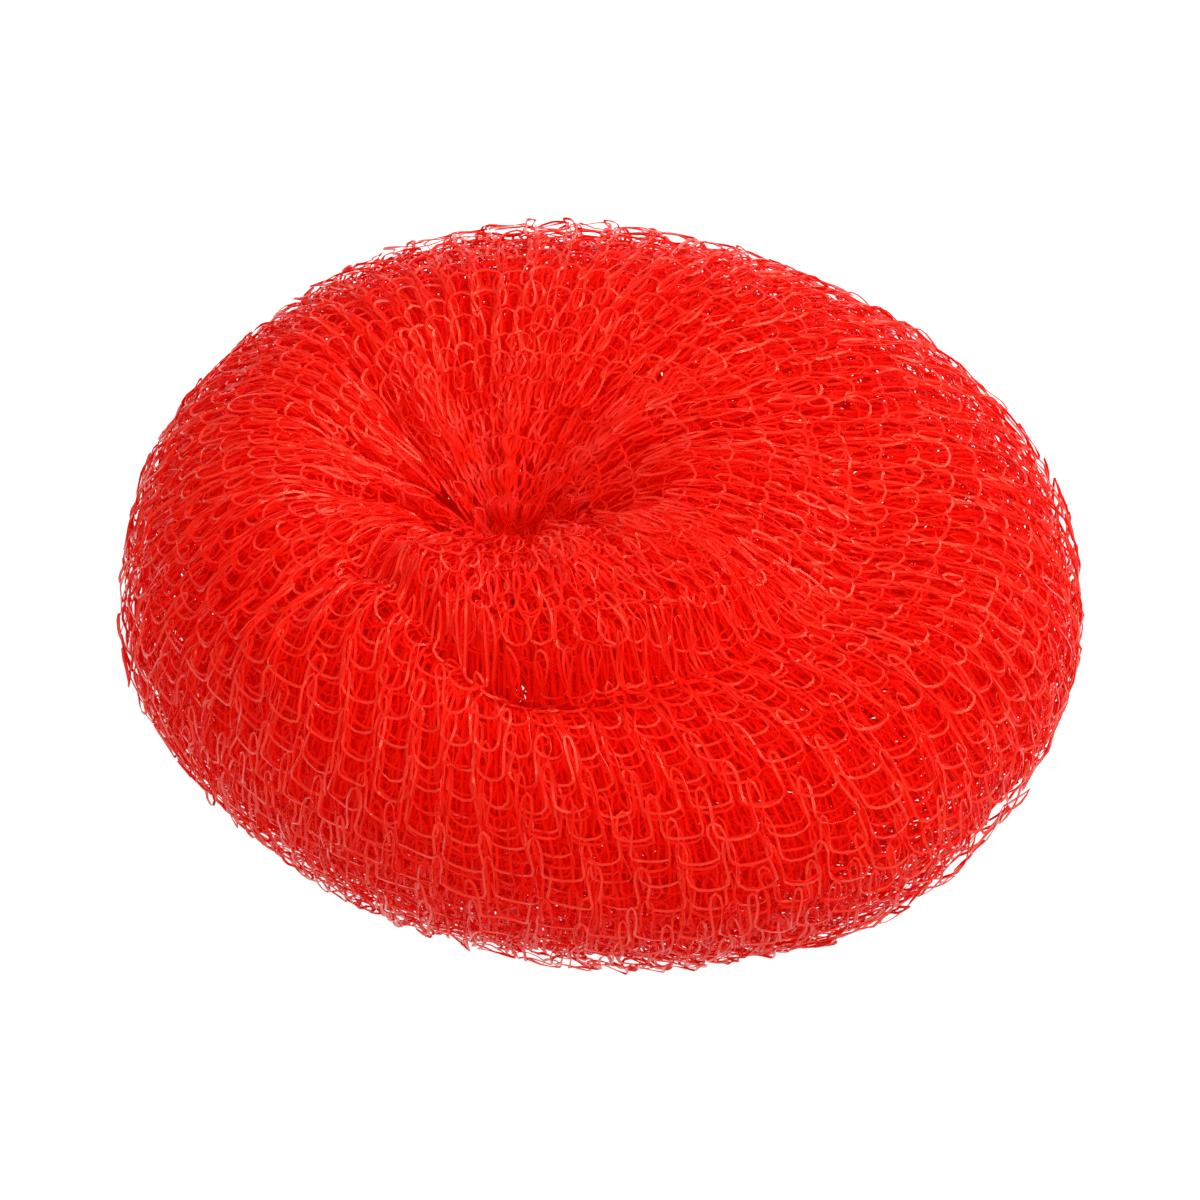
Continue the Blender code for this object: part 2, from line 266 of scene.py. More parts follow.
def stitch_controls(chance, share, phase, depth, stitch, loose, leg_twist):
    """Control points of every stitch, as share, phase, depth and twist, course by course.

    One stitch runs over its head, down a leg, along the wide arc to the next column and up its
    leg. Heads point to the throat and arcs sag to the rim.
    """
    across, along = stretch(share, phase, depth)
    next_share = np.roll(share, -1, axis=1)
    next_share[:, -1] += 1.0
    next_phase = np.roll(phase, -1, axis=1)
    next_across = np.roll(across, -1, axis=1)
    pitch = (next_share - share) * across

    def varied(size, part):
        return size * (1.0 + loose * part * chance.standard_normal(share.shape))

    openness = np.clip(pitch / stitch.open_pitch, LEAST_OPENNESS, 1.0)
    head = varied(stitch.head_half_width, HEAD_VARIATION)
    root = varied(stitch.root_half_width, ROOT_VARIATION) * openness
    height = varied(stitch.head_height, HEIGHT_VARIATION)
    crowding = np.clip(1.0 - pitch / stitch.open_pitch, 0.0, 1.0)
    arc = np.maximum(pitch / 2.0 - root * ARC_START_SHARE,
                     varied(stitch.arc_least_half_width, ARC_VARIATION))
    arc = np.minimum(arc, pitch / 2.0 + stitch.arc_overlap)
    sag = varied(stitch.arc_sag, SAG_VARIATION) + stitch.arc_growth * crowding
    lean = stitch.lean * loose * chance.standard_normal(share.shape)
    facing = np.cos(2.0 * math.pi * (share - stitch.relief_place))
    lift = stitch.relief * (RELIEF_PEAK * np.clip(facing, 0.0, 1.0) ** 3 - RELIEF_LOSS)
    rough = [loose * stitch.ruffle * chance.standard_normal(share.shape) for _ in range(6)]
    turned = leg_twist * np.sign(chance.standard_normal(share.shape))
    twist = [loose * stitch.twist * chance.standard_normal(share.shape)
             + (turned if point in LEG_POINTS else 0.0) for point in range(STITCH_POINTS)]
    tilt = stitch.arc_tilt * np.minimum(crowding * TILT_GROWTH, 1.0)
    next_root, next_head = np.roll(root, -1, axis=1), np.roll(head, -1, axis=1)
    next_height, next_lean = np.roll(height, -1, axis=1), np.roll(lean, -1, axis=1)
    middle_share, middle_phase = (share + next_share) / 2.0, (phase + next_phase) / 2.0

    def place(base_share, base_phase, wide, right, up, out, turn):
        return np.stack([base_share + right / wide, base_phase + up / along,
                         depth - out, turn], axis=-1)

    points = [
        place(share, phase, across, lean, height * HEAD_TOP_SHARE, rough[0] - lift, twist[0]),
        place(share, phase, across, head + lean, height * HEAD_SIDE_SHARE, rough[0], twist[1]),
        place(share, phase, across, root, height * ROOT_SHARE, lift + rough[1], twist[2]),
        place(middle_share, middle_phase, across, -arc, -ARC_SIDE_SHARE * sag,
              rough[2] - tilt, twist[3]),
        place(middle_share, middle_phase, across, lean / 2.0, -ARC_MIDDLE_SHARE * sag,
              rough[3] - lift, twist[4]),
        place(middle_share, middle_phase, across, arc, -ARC_SIDE_SHARE * sag,
              rough[4] + tilt, twist[5]),
        place(next_share, next_phase, next_across, -next_root, next_height * ROOT_SHARE,
              lift + rough[5], twist[6]),
        place(next_share, next_phase, next_across, next_lean - next_head,
              next_height * HEAD_SIDE_SHARE, np.roll(rough[0], -1, axis=1), twist[7]),
    ]
    return np.stack(points, axis=2).reshape(share.shape[0], -1, 4)


def ribbon_mesh(name, controls, samples, yarn):
    """Flat yarn along each course's control points, as one mesh of closed loops."""
    line = spline_through(controls, np.array([1.0, 0.0, 0.0, 0.0]), samples)
    share, phase, depth, twist = np.moveaxis(line, -1, 0)
    middle = ring_points(share, phase, depth)
    probe = 0.05 * MM
    outward = unit(ring_points(share, phase, depth - probe) - middle)
    heading = unit(np.roll(middle, -1, axis=1) - np.roll(middle, 1, axis=1))
    side = unit(np.cross(heading, outward))
    upper = np.cross(side, heading)
    cos_twist, sin_twist = np.cos(twist)[..., None], np.sin(twist)[..., None]
    wide = cos_twist * side + sin_twist * upper
    thin = cos_twist * upper - sin_twist * side
    half_wide, half_thin = yarn.width / 2.0, yarn.thickness / 2.0
    corners = [half_wide * wide - half_thin * thin, half_wide * wide + half_thin * thin,
               half_thin * thin - half_wide * wide, -half_thin * thin - half_wide * wide]
    verts = np.stack([middle + corner for corner in corners], axis=2)
    low = verts[..., 2] < PRESS_HEIGHT
    verts[..., 2] = np.where(
        low, PRESS_HEIGHT * np.exp(np.minimum(verts[..., 2] / PRESS_HEIGHT - 1.0, 0.0)),
        verts[..., 2])

    courses = verts.shape[0]
    index = np.arange(courses * samples * 4).reshape(courses, samples, 4)
    ahead, beside = np.roll(index, -1, axis=1), np.roll(index, -1, axis=2)
    across = np.roll(ahead, -1, axis=2)
    quads = np.stack([index, ahead, across, beside], axis=-1).reshape(-1, 4)
    mesh = bpy.data.meshes.new(name)
    mesh.vertices.add(verts.size // 3)
    mesh.vertices.foreach_set("co", verts.astype(np.float32).ravel())
    mesh.loops.add(quads.size)
    mesh.loops.foreach_set("vertex_index", quads.astype(np.int32).ravel())
    mesh.polygons.add(len(quads))
    mesh.polygons.foreach_set("loop_start", np.arange(0, quads.size, 4, dtype=np.int32))
    mesh.polygons.foreach_set("use_smooth", np.ones(len(quads), dtype=bool))
    mesh.update(calc_edges=True)
    ends = np.empty(2 * len(mesh.edges), dtype=np.int32)
    mesh.edges.foreach_get("vertices", ends)
    first, last = ends[0::2], ends[1::2]
    crisp = mesh.attributes.new("sharp_edge", "BOOLEAN", "EDGE")
    crisp.data.foreach_set("value", (first % 4 == last % 4) & (first // 4 != last // 4))
    return mesh


def knit(name, phases, depths, samples, seed, settings, material, replaced=(),
         column_shift=1.0, leg_twist=0.0):
    """Knit courses at these phases and depths into one piece that rides on the pad.

    The columns of all the turns wander together, and draw into bundles towards the throat. Those
    of the cover's plies lie less than column_shift columns apart, which gives the pad its ribs.
    """
    chance = np.random.default_rng(seed)
    stitch, yarn = settings.stitch, settings.yarn
    wales = stitch.wales
    share = (np.arange(wales)[None, :] + column_shift * chance.uniform()) / wales
    share = np.repeat(share, len(phases), axis=0)
    phase = np.repeat(np.asarray(phases)[:, None], wales, axis=1)
    wander = slow_waves(np.random.default_rng(stitch.column_seed), share, phase, *WANDER_WAVES)
    drift = slow_waves(chance, share, phase, *DRIFT_WAVES)
    bulge = slow_waves(chance, share, phase, *BULGE_WAVES)
    depth = np.repeat(np.asarray(depths)[:, None], wales, axis=1) - bulge * stitch.bulge
    share = share + wander * stitch.wander_share / wales
    funnel = np.clip(-np.cos(phase), 0.0, 1.0)
    bundles = slow_waves(np.random.default_rng(stitch.bundle_seed), share, phase, *BUNDLE_WAVES)
    share = share + bundles * funnel * stitch.bundle_share / wales
    depth = depth - np.roll(bundles, 1, axis=1) * funnel * stitch.bundle_height
    share = share + dragged(share, phase)
    phase = phase + drift * stitch.drift / SHORT_RADIUS
    controls = stitch_controls(chance, share, phase, depth, stitch, stitch.looseness, leg_twist)
    mesh = ribbon_mesh(name, controls, samples * wales, yarn)
    piece = bpy.data.objects.new(name, mesh)
    bpy.context.scene.collection.objects.link(piece)
    mesh.materials.append(material)
    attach(piece, BODY)
    if replaced:
        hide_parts(*replaced)
    return piece


def tube_mesh(name, lines, radius, sides=6):
    """Round tubes with capped ends along open lines, as one mesh."""
    verts, faces = [], []
    for line in lines:
        heading = unit(np.gradient(line, axis=0))
        side = unit(np.cross(heading, heading[:, [1, 2, 0]] * [1.0, -1.0, 1.0]))
        upper = np.cross(side, heading)
        start = len(verts)
        for turn in range(sides):
            angle = 2.0 * math.pi * turn / sides
            verts.extend(line + radius * (math.cos(angle) * side + math.sin(angle) * upper))
        count = len(line)
        for turn in range(sides):
            here, there = start + turn * count, start + (turn + 1) % sides * count
            faces.extend((here + i, here + i + 1, there + i + 1, there + i)
                         for i in range(count - 1))
        faces.append([start + turn * count for turn in range(sides)])
        faces.append([start + turn * count + count - 1 for turn in reversed(range(sides))])
    mesh = bpy.data.meshes.new(name)
    mesh.from_pydata([tuple(vert) for vert in verts], [], faces)
    mesh.polygons.foreach_set("use_smooth", np.ones(len(faces), dtype=bool))
    return mesh


def thread_plies(line, tie):
    """The plies of a thread, twisted on one another along a line of points."""
    heading = unit(np.gradient(line, axis=0))
    side = unit(np.cross(heading, [0.0, 0.3, 1.0]))
    upper = np.cross(side, heading)
    steps = np.linalg.norm(np.diff(line, axis=0), axis=1)
    twist = 2.0 * math.pi * np.concatenate([[0.0], np.cumsum(steps)]) / tie.twist
    plies = []
    for ply in range(tie.plies):
        angle = (twist + 2.0 * math.pi * ply / tie.plies)[:, None]
        away = np.cos(angle) * side + np.sin(angle) * upper
        plies.append(line + away * tie.radius * 0.5)
    return plies


# Points along a wound turn, a tail and the knot, and how far a tail stands away from the waist
TURN_POINTS = 160
TAIL_POINTS = 60
KNOT_POINTS = 121
TAIL_AWAY_SHARE = 0.3


def tie_lines(tie):
    """Middle lines of the wound thread, with both its tails, and of the knot."""
    axis = np.array([*THROAT, MIDDLE_HEIGHT])
    turn = np.linspace(0.0, tie.loops, tie.loops * TURN_POINTS + 1)
    angle = 2.0 * math.pi * (tie.knot_share + turn) + PLAN_TURN
    rise = tie.pitch * (turn - tie.loops / 2.0)
    wound = axis + np.stack([tie.wound_radius * np.cos(angle),
                             tie.wound_radius * np.sin(angle), rise], axis=1)
    away = np.array([math.cos(angle[0]), math.sin(angle[0]), 0.0])
    beside = np.array([-away[1], away[0], 0.0])
    knot_place = axis + away * (tie.wound_radius + tie.knot_size)
    lines = [wound]
    for end, way in ((wound[0], -1.0), (wound[-1], 1.0)):
        part = np.linspace(0.0, 1.0, TAIL_POINTS)[:, None]
        last = (knot_place + away * tie.tail * TAIL_AWAY_SHARE + beside * way * tie.tail
                + [0.0, 0.0, -tie.tail])
        bend = knot_place + away * tie.knot_size
        lines.append((1.0 - part) ** 2 * end + 2.0 * part * (1.0 - part) * bend + part ** 2 * last)
    loop = np.linspace(0.0, 2.0 * math.pi, KNOT_POINTS)
    knot = np.stack([-np.sin(3.0 * loop), np.sin(loop) + 2.0 * np.sin(2.0 * loop),
                     np.cos(loop) - 2.0 * np.cos(2.0 * loop)], axis=1) / 3.0
    knot = knot @ np.array([away, beside, [0.0, 0.0, 1.0]])
    lines.append(knot_place + knot * tie.knot_size)
    return lines


def node(tree, kind, **values):
    """Add a node and set its plain values and named inputs."""
    made = tree.nodes.new(kind)
    for key, value in values.items():
        if key in made.inputs:
            made.inputs[key].default_value = value
        else:
            setattr(made, key, value)
    return made


# The nylon: how sharply deep patches turn pale, its refraction, and its fine draw lines
PATCH_STEP = 0.14
NYLON_REFRACTION = 1.53
DRAW_LINE_STRENGTH = 0.25
DRAW_LINE_DEPTH = 0.04 * MM

# The thread's fibres: how many to a metre, and how they stand out
FIBRE_SCALE = 5200.0
FIBRE_STRENGTH = 0.5
FIBRE_DEPTH = 0.06 * MM

# The part of a noise that is used, because it seldom goes further
NOISE_LOW = 0.3
NOISE_HIGH = 0.7


def nylon_finish(name, settings):
    """Drawn nylon tape: patches of lighter and deeper red, a soft gloss and fine draw lines.

    The weak glow is painted light: an emission that stands in for the light that the thin yarn
    passes on from turn to turn.
    """
    found = bpy.data.materials.get(name)
    if found:
        return found
    finish = settings.finish
    # Each ply is a copy of one yarn in different reds. The cover's paler red is a painted sheen on
    # the top yarn, and the deeper reds beneath are painted shade on the turns under it. The noise
    # spreads each ply's two reds in random patches.
    pale, deep, cover, shine, tint, glow = {
        "cover_nylon": (finish.pale_sheen_red, finish.yarn_red, 0.48, finish.shine,
                        finish.shine_tint, finish.glow),
        "throat_nylon": (finish.throat_red, finish.under_shade_red, 0.48, finish.inner_shine,
                         finish.shine_tint, finish.glow),
        "under_nylon": (finish.yarn_red, finish.under_shade_red, 0.46, finish.inner_shine,
                        finish.shine_tint, finish.inner_glow),
        "inner_nylon": (finish.under_shade_red, finish.inner_shade_red, 0.46, finish.inner_shine,
                        finish.glow_red, finish.inner_glow),
    }[name]
    material = bpy.data.materials.new(name)
    material.use_nodes = True
    tree = material.node_tree
    shader = tree.nodes["Principled BSDF"]
    place = node(tree, "ShaderNodeTexCoord")
    patches = node(tree, "ShaderNodeTexNoise", Scale=finish.patch_scale, Detail=4.0)
    colours = node(tree, "ShaderNodeValToRGB")
    colours.color_ramp.elements[0].position = cover
    colours.color_ramp.elements[0].color = deep
    colours.color_ramp.elements[1].position = cover + PATCH_STEP
    colours.color_ramp.elements[1].color = pale
    wear = node(tree, "ShaderNodeTexNoise", Scale=finish.grain_scale, Detail=3.0)
    gloss = node(tree, "ShaderNodeMapRange")
    gloss.inputs["From Min"].default_value = NOISE_LOW
    gloss.inputs["From Max"].default_value = NOISE_HIGH
    gloss.inputs["To Min"].default_value = finish.smoothest
    gloss.inputs["To Max"].default_value = finish.roughest
    bump = node(tree, "ShaderNodeBump", Strength=DRAW_LINE_STRENGTH, Distance=DRAW_LINE_DEPTH)
    tree.links.new(place.outputs["Object"], patches.inputs["Vector"])
    tree.links.new(place.outputs["Object"], wear.inputs["Vector"])
    tree.links.new(patches.outputs["Fac"], colours.inputs["Fac"])
    tree.links.new(wear.outputs["Fac"], gloss.inputs["Value"])
    tree.links.new(wear.outputs["Fac"], bump.inputs["Height"])
    tree.links.new(colours.outputs["Color"], shader.inputs["Base Color"])
    tree.links.new(gloss.outputs["Result"], shader.inputs["Roughness"])
    tree.links.new(bump.outputs["Normal"], shader.inputs["Normal"])
    shader.inputs["IOR"].default_value = NYLON_REFRACTION
    shader.inputs["Specular IOR Level"].default_value = shine
    shader.inputs["Specular Tint"].default_value = tint
    # Painted light: the emission makes the yarn give off red light of its own
    shader.inputs["Emission Color"].default_value = finish.glow_red
    shader.inputs["Emission Strength"].default_value = glow
    return material


def thread_finish(settings):
    """Spun sewing thread: matt, fuzzy, with a fine wound grain."""
    material = bpy.data.materials.new("tie_thread")
    material.use_nodes = True
    tree = material.node_tree
    shader = tree.nodes["Principled BSDF"]
    place = node(tree, "ShaderNodeTexCoord")
    fibres = node(tree, "ShaderNodeTexNoise", Scale=FIBRE_SCALE, Detail=2.0)
    colours = node(tree, "ShaderNodeValToRGB")
    colours.color_ramp.elements[0].position = NOISE_LOW
    colours.color_ramp.elements[0].color = settings.finish.thread_shade
    colours.color_ramp.elements[1].position = NOISE_HIGH
    colours.color_ramp.elements[1].color = settings.finish.thread_red
    bump = node(tree, "ShaderNodeBump", Strength=FIBRE_STRENGTH, Distance=FIBRE_DEPTH)
    tree.links.new(place.outputs["Object"], fibres.inputs["Vector"])
    tree.links.new(fibres.outputs["Fac"], colours.inputs["Fac"])
    tree.links.new(fibres.outputs["Fac"], bump.inputs["Height"])
    tree.links.new(colours.outputs["Color"], shader.inputs["Base Color"])
    tree.links.new(bump.outputs["Normal"], shader.inputs["Normal"])
    shader.inputs["Roughness"].default_value = 0.85
    shader.inputs["Specular IOR Level"].default_value = 0.2
    shader.inputs["Sheen Weight"].default_value = 0.3
    return material


class YarnSettings(bpy.types.PropertyGroup):
    """The flat nylon yarn."""

    width: bpy.props.FloatProperty(
        name="Width", description="Width of the flat yarn", default=0.27 * MM, unit="LENGTH")
    thickness: bpy.props.FloatProperty(
        name="Thickness", description="Thickness of the flat yarn", default=0.08 * MM,
        unit="LENGTH")


class StitchSettings(bpy.types.PropertyGroup):
    """The stitches of the sleeve."""

    wales: bpy.props.IntProperty(
        name="Columns", description="Stitch columns round the sleeve", default=66)
    course_pitch: bpy.props.FloatProperty(
        name="Row pitch", description="Distance from row to row", default=3.55 * MM,
        unit="LENGTH")
    open_pitch: bpy.props.FloatProperty(
        name="Open column pitch", description="Column pitch where the knit lies fully open",
        default=5.0 * MM, unit="LENGTH")
    head_half_width: bpy.props.FloatProperty(
        name="Head half width", description="Half width of a loop's head", default=0.72 * MM,
        unit="LENGTH")
    root_half_width: bpy.props.FloatProperty(
        name="Root half width", description="Half width of a loop's root", default=0.42 * MM,
        unit="LENGTH")
    head_height: bpy.props.FloatProperty(
        name="Head height", description="Height of a loop over its root", default=4.25 * MM,
        unit="LENGTH")
    arc_sag: bpy.props.FloatProperty(
        name="Arc sag", description="Sag of the wide arc between columns", default=0.85 * MM,
        unit="LENGTH")
    arc_growth: bpy.props.FloatProperty(
        name="Arc growth", description="Sag gained where the columns crowd", default=1.5 * MM,
        unit="LENGTH")
    arc_least_half_width: bpy.props.FloatProperty(
        name="Least arc half width", description="Half width of the arcs where columns crowd",
        default=1.5 * MM, unit="LENGTH")
    arc_overlap: bpy.props.FloatProperty(
        name="Arc overlap", description="How far a crowded arc may pass its own columns",
        default=1.0 * MM, unit="LENGTH")
    arc_tilt: bpy.props.FloatProperty(
        name="Arc tilt", description="How far crowded arcs stand over their neighbours",
        default=0.35 * MM, unit="LENGTH")
    lean: bpy.props.FloatProperty(
        name="Lean", description="Usual sideways lean of a head", default=0.3 * MM,
        unit="LENGTH")
    relief: bpy.props.FloatProperty(
        name="Relief", description="How far legs stand out over heads and arcs",
        default=0.3 * MM, unit="LENGTH")
    relief_place: bpy.props.FloatProperty(
        name="Relief place", description="Share of the ring where the legs stand out most",
        default=0.75)
    ruffle: bpy.props.FloatProperty(
        name="Ruffle", description="Usual random rise of the yarn", default=0.22 * MM,
        unit="LENGTH")
    twist: bpy.props.FloatProperty(
        name="Twist", description="Usual random twist of the flat yarn", default=0.5,
        unit="ROTATION")
    leg_twist: bpy.props.FloatProperty(
        name="Leg twist", description="How far the yarn turns on edge in the legs", default=0.85,
        unit="ROTATION")
    bulge: bpy.props.FloatProperty(
        name="Bulge", description="Height of the slack places of a turn", default=0.5 * MM,
        unit="LENGTH")
    column_seed: bpy.props.IntProperty(
        name="Column seed", description="Seed of the wander that all turns share", default=7)
    column_shift: bpy.props.FloatProperty(
        name="Column shift", description="How far the plies' columns miss each other, in columns",
        default=0.6)
    wander_share: bpy.props.FloatProperty(
        name="Wander", description="Sideways wander of the columns, in columns", default=0.6)
    bundle_seed: bpy.props.IntProperty(
        name="Bundle seed", description="Seed of the bundles that run into the throat", default=3)
    bundle_share: bpy.props.FloatProperty(
        name="Bundling", description="How far the gathered columns draw together, in columns",
        default=1.6)
    bundle_height: bpy.props.FloatProperty(
        name="Bundle height", description="How far the bundles stand up", default=0.9 * MM,
        unit="LENGTH")
    drift: bpy.props.FloatProperty(
        name="Drift", description="Wander of the rows", default=1.8 * MM, unit="LENGTH")
    looseness: bpy.props.FloatProperty(
        name="Looseness", description="How uneven the stitches are", default=1.35)


class FinishSettings(bpy.types.PropertyGroup):
    """The nylon's colour and gloss."""

    # The pale red is a painted sheen on the cover's yarn, spread in random lighter patches
    pale_sheen_red: bpy.props.FloatVectorProperty(
        name="Pale red", description="Lighter patches of the yarn", subtype="COLOR", size=4,
        default=(0.97, 0.030, 0.012, 1.0))
    yarn_red: bpy.props.FloatVectorProperty(
        name="Yarn red", description="Usual colour of the yarn", subtype="COLOR", size=4,
        default=(0.95, 0.014, 0.006, 1.0))
    throat_red: bpy.props.FloatVectorProperty(
        name="Throat red", description="Lighter patches of the gathered yarn", subtype="COLOR",
        size=4, default=(0.96, 0.034, 0.023, 1.0))
    thread_red: bpy.props.FloatVectorProperty(
        name="Thread red", description="Colour of the tie's thread", subtype="COLOR", size=4,
        default=(0.62, 0.012, 0.012, 1.0))
    thread_shade: bpy.props.FloatVectorProperty(
        name="Thread shade", description="Colour between the thread's fibres",
        subtype="COLOR", size=4, default=(0.36, 0.006, 0.006, 1.0))
    # The under and inner reds are the same yarn made deeper red: painted shade on the turns
    # beneath the cover
    under_shade_red: bpy.props.FloatVectorProperty(
        name="Under red", description="Usual colour of the turns under the cover",
        subtype="COLOR", size=4, default=(0.92, 0.011, 0.004, 1.0))
    inner_shade_red: bpy.props.FloatVectorProperty(
        name="Inner red", description="Deeper colour of the inner turns", subtype="COLOR",
        size=4, default=(0.92, 0.006, 0.002, 1.0))
    patch_scale: bpy.props.FloatProperty(
        name="Patch scale", description="Colour patches to a metre", default=380.0)
    grain_scale: bpy.props.FloatProperty(
        name="Grain scale", description="Draw marks to a metre", default=2600.0)
    smoothest: bpy.props.FloatProperty(
        name="Smoothest", description="Roughness of the glossiest places", default=0.16)
    roughest: bpy.props.FloatProperty(
        name="Roughest", description="Roughness of the dullest places", default=0.36)
    shine: bpy.props.FloatProperty(
        name="Shine", description="Strength of the gloss", default=0.48)
    shine_tint: bpy.props.FloatVectorProperty(
        name="Shine tint", description="Colour of the gloss", subtype="COLOR", size=4,
        default=(1.0, 0.56, 0.34, 1.0))
    inner_shine: bpy.props.FloatProperty(
        name="Inner shine", description="Strength of the gloss under the cover", default=0.1)
    # The glow red and both glow strengths are painted light, an emission that stands in for light
    # scattered through the thin yarn; the glow red is also the inner turns' gloss tint
    glow_red: bpy.props.FloatVectorProperty(
        name="Glow red", description="Colour of the light that the thin yarn lets pass",
        subtype="COLOR", size=4, default=(1.0, 0.008, 0.003, 1.0))
    glow: bpy.props.FloatProperty(
        name="Glow", description="Light that the cover's yarn lets pass", default=0.02)
    inner_glow: bpy.props.FloatProperty(
        name="Inner glow", description="Light that the inner turns let pass", default=0.058)


class TieSettings(bpy.types.PropertyGroup):
    """The thread that closes the waist."""

    radius: bpy.props.FloatProperty(
        name="Thread radius", description="Radius of the whole thread", default=0.36 * MM,
        unit="LENGTH")
    plies: bpy.props.IntProperty(name="Plies", description="Plies of the thread", default=3)
    twist: bpy.props.FloatProperty(
        name="Twist length", description="Length of one twist of the plies", default=1.7 * MM,
        unit="LENGTH")
    loops: bpy.props.IntProperty(
        name="Turns", description="Turns of the thread round the waist", default=3)
    pitch: bpy.props.FloatProperty(
        name="Turn pitch", description="Rise of one turn", default=0.95 * MM, unit="LENGTH")
    wound_radius: bpy.props.FloatProperty(
        name="Wound radius", description="Radius of the wound turns", default=3.6 * MM,
        unit="LENGTH")
    knot_share: bpy.props.FloatProperty(
        name="Knot place", description="Place of the knot, as a share of a turn", default=0.9)
    knot_size: bpy.props.FloatProperty(
        name="Knot size", description="Reach of the knot from its middle", default=0.9 * MM,
        unit="LENGTH")
    tail: bpy.props.FloatProperty(
        name="Tail", description="Reach of the thread's loose ends", default=2.2 * MM,
        unit="LENGTH")


class ScrubberSettings(bpy.types.PropertyGroup):
    """All the sizes and finishes of the scrubber."""

    yarn: bpy.props.PointerProperty(type=YarnSettings)
    stitch: bpy.props.PointerProperty(type=StitchSettings)
    finish: bpy.props.PointerProperty(type=FinishSettings)
    tie: bpy.props.PointerProperty(type=TieSettings)


def course_phases(settings, low, high):
    """Phases of the courses between two places of the section, a row pitch apart."""
    mean_radius = (LONG_RADIUS + SHORT_RADIUS) / 4.0
    courses = round((high - low) / (settings.stitch.course_pitch / mean_radius))
    return np.linspace(low, high, courses, endpoint=False)


# Where the cover ends and the gathered throat begins, and how far the inner turns reach
COVER_EDGE = math.radians(128.0)
COVER_RIM = 0.0
THROAT_DEPTH = 0.5 * MM
INNER_EDGE = math.radians(146.0)

# The tight roll: its outermost depth, the depth it gains in a turn, and its turns
CORE_DEPTH = 5.5 * MM
CORE_PITCH = 1.6 * MM
CORE_TURNS = 3

# Seeds of the knit, one for each stretch of the sleeve
COVER_SEEDS = {"lower": 11, "upper": 31}
THROAT_SEED = 51
INNER_SEED = 71
CORE_SEED = 91

# Each ply of the cover, from the outside: depth, points to a stitch and finish
COVER_PLIES = {
    "outer": (0.35 * MM, 14, "cover_nylon"),
    "middle": (0.9 * MM, 12, "under_nylon"),
    "under": (1.5 * MM, 10, "inner_nylon"),
}

# Each ply of the inner turns: depth, points to a stitch and the turn that it stands for
INNER_PLIES = {
    "second_turn_knit": (2.1 * MM, 10, "second_turn"),
    "second_turn_ply": (2.8 * MM, 8, "second_turn"),
    "third_turn_knit": (3.6 * MM, 8, "third_turn"),
    "third_turn_ply": (4.5 * MM, 8, "third_turn"),
}

# Points to a stitch in the throat and in the tight roll
THROAT_SAMPLES = 12
CORE_SAMPLES = 6


class SCRUBBER_OT_cover(bpy.types.Operator):
    """Knit the cover: three plies from the lower throat, over the rim and crest, to the throat"""

    bl_idname = "scrubber.cover"
    bl_label = "Cover turn"

    def execute(self, context):
        settings = context.scene.scrubber
        low = course_phases(settings, -COVER_EDGE, COVER_RIM)
        high = course_phases(settings, COVER_RIM, COVER_EDGE)
        for ply, (depth, samples, finish) in COVER_PLIES.items():
            tape = nylon_finish(finish, settings)
            shift = 1.0 if ply == "under" else settings.stitch.column_shift
            leg_twist = settings.stitch.leg_twist if ply == "outer" else 0.0
            for half, phases in (("lower", low), ("upper", high)):
                knit(f"cover_{ply}_{half}_half", phases, np.full(len(phases), depth), samples,
                     COVER_SEEDS[half] + samples, settings, tape, ["outer_net"],
                     shift, leg_twist)
        return {"FINISHED"}


class SCRUBBER_OT_throat(bpy.types.Operator):
    """Knit the gathered throat that joins the cover's two edges through the ring"""

    bl_idname = "scrubber.throat"
    bl_label = "Gathered throat"

    def execute(self, context):
        settings = context.scene.scrubber
        tape = nylon_finish("throat_nylon", settings)
        phases = course_phases(settings, COVER_EDGE, 2.0 * math.pi - COVER_EDGE)
        knit("throat_gather", phases, np.full(len(phases), THROAT_DEPTH), THROAT_SAMPLES,
             THROAT_SEED, settings, tape, ["gathered_throat"])
        return {"FINISHED"}


class SCRUBBER_OT_inner_turns(bpy.types.Operator):
    """Knit the two turns of the sleeve that show through the cover"""

    bl_idname = "scrubber.inner_turns"
    bl_label = "Inner turns"

    def execute(self, context):
        settings = context.scene.scrubber
        inner = nylon_finish("inner_nylon", settings)
        phases = course_phases(settings, -INNER_EDGE, INNER_EDGE)
        for number, (name, (depth, samples, turn)) in enumerate(INNER_PLIES.items()):
            knit(name, phases, np.full(len(phases), depth), samples, INNER_SEED + number,
                 settings, inner, [turn])
        return {"FINISHED"}


class SCRUBBER_OT_rolled_core(bpy.types.Operator):
    """Knit the tight roll in the middle, as a spiral of the sleeve"""

    bl_idname = "scrubber.rolled_core"
    bl_label = "Rolled core"

    def execute(self, context):
        settings = context.scene.scrubber
        inner = nylon_finish("inner_nylon", settings)
        for turn in range(CORE_TURNS):
            phases = course_phases(settings, math.pi, 3.0 * math.pi)
            wound = turn + (phases - math.pi) / (2.0 * math.pi)
            knit(f"rolled_core_turn_{turn + 1}", phases, CORE_DEPTH + CORE_PITCH * wound,
                 CORE_SAMPLES, CORE_SEED + turn, settings, inner, ["rolled_core"])
        return {"FINISHED"}


